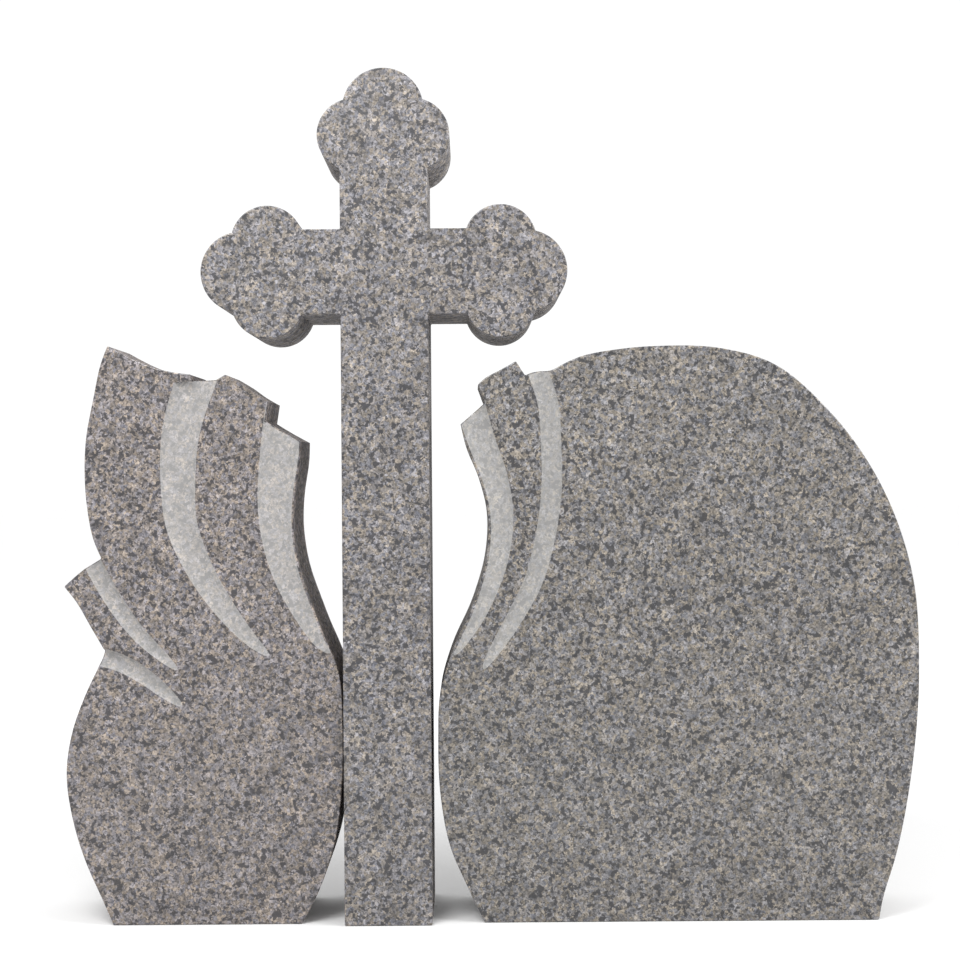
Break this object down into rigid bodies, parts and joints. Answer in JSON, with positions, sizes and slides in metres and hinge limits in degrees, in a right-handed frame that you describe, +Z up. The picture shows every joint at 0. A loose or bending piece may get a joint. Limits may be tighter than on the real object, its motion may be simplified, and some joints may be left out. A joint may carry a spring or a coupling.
{
  "type": "grave monument",
  "caption": "Polished grey granite grave monument: a cross with budded ends standing between two winged slabs with frosted flutes and blank faces.",
  "frame": {"origin": "on the ground, at the middle of the box round the three stones", "axes": "+Z up, the carved front faces -Y, +X to the right as seen from the front"},
  "size_m": [1.3712, 0.2, 1.37],
  "materials": {
    "cross_granite": "polished mid-grey granite with fine dark and light grains, sides honed",
    "wing_granite": "polished mid-grey granite with fine dark and light grains, flutes blasted to a light frosted grey, sides honed"
  },
  "bodies": {
    "root": {"cross": "cross_granite", "left_wing": "wing_granite", "right_wing": "wing_granite"}
  },
  "joints": []
}
